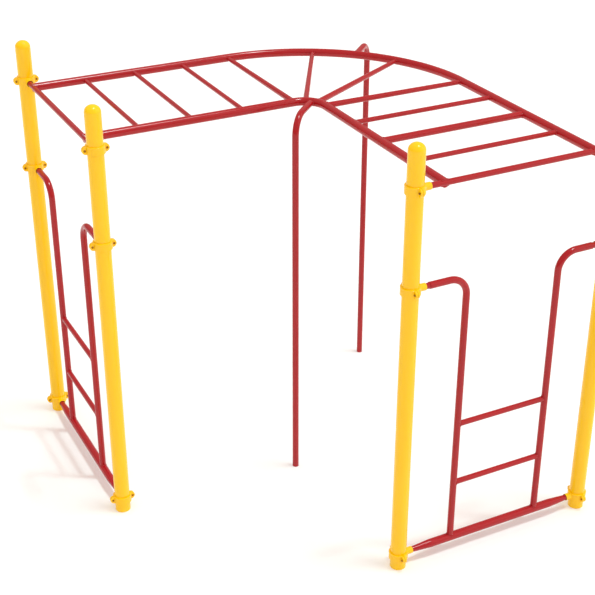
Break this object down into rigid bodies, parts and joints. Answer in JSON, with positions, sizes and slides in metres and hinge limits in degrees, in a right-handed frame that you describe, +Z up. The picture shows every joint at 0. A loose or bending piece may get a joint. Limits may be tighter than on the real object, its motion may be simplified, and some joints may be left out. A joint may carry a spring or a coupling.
{
  "type": "overhead ladder",
  "caption": "L-shaped overhead ladder for a playground: rungs on two bent rails between paired posts, with short climbing ladders at both ends and two bent support poles.",
  "frame": {"origin": "on the ground, at the centre of the bounding box", "axes": "+Z up; the left arm of the ladder runs along X and the right arm along Y, and the bend is in the +X +Y corner"},
  "size_m": [2.5509, 2.5509, 2.524],
  "materials": {
    "red_powder_coat": "gloss red powder coat over steel tube",
    "yellow_powder_coat": "gloss yellow powder coat over steel tube and cast clamps",
    "zinc_hardware": "dark plated steel"
  },
  "bodies": {
    "root": {"post_left_inner": "yellow_powder_coat", "post_left_outer": "yellow_powder_coat", "post_right_inner": "yellow_powder_coat", "post_right_outer": "yellow_powder_coat", "post_cap_left_inner": "yellow_powder_coat", "post_cap_left_outer": "yellow_powder_coat", "post_cap_right_inner": "yellow_powder_coat", "post_cap_right_outer": "yellow_powder_coat", "clamp_socket_left_inner_top": "yellow_powder_coat", "clamp_socket_left_inner_middle": "yellow_powder_coat", "clamp_socket_left_inner_bottom": "yellow_powder_coat", "clamp_socket_left_outer_top": "yellow_powder_coat", "clamp_socket_left_outer_middle": "yellow_powder_coat", "clamp_socket_left_outer_bottom": "yellow_powder_coat", "clamp_socket_right_inner_top": "yellow_powder_coat", "clamp_socket_right_inner_middle": "yellow_powder_coat", "clamp_socket_right_inner_bottom": "yellow_powder_coat", "clamp_socket_right_outer_top": "yellow_powder_coat", "clamp_socket_right_outer_middle": "yellow_powder_coat", "clamp_socket_right_outer_bottom": "yellow_powder_coat", "clamp_backs_left_inner": "yellow_powder_coat", "clamp_backs_left_outer": "yellow_powder_coat", "clamp_backs_right_inner": "yellow_powder_coat", "clamp_backs_right_outer": "yellow_powder_coat", "outer_rail": "red_powder_coat", "inner_rail": "red_powder_coat", "rail_end_plates": "red_powder_coat", "end_crossbar_left": "red_powder_coat", "end_crossbar_right": "red_powder_coat", "rung_02": "red_powder_coat", "rung_03": "red_powder_coat", "rung_04": "red_powder_coat", "rung_05": "red_powder_coat", "rung_06": "red_powder_coat", "rung_07": "red_powder_coat", "rung_08": "red_powder_coat", "rung_09": "red_powder_coat", "rung_10": "red_powder_coat", "rung_11": "red_powder_coat", "support_pole_inner": "red_powder_coat", "support_pole_outer": "red_powder_coat", "bottom_rail_left": "red_powder_coat", "upright_left_inner": "red_powder_coat", "upright_left_outer": "red_powder_coat", "step_left_lower": "red_powder_coat", "step_left_upper": "red_powder_coat", "bottom_rail_right": "red_powder_coat", "upright_right_inner": "red_powder_coat", "upright_right_outer": "red_powder_coat", "step_right_lower": "red_powder_coat", "step_right_upper": "red_powder_coat", "clamp_bolts": "zinc_hardware", "clamp_nuts": "zinc_hardware", "socket_set_screws": "zinc_hardware", "cap_rivets": "yellow_powder_coat"}
  },
  "joints": []
}
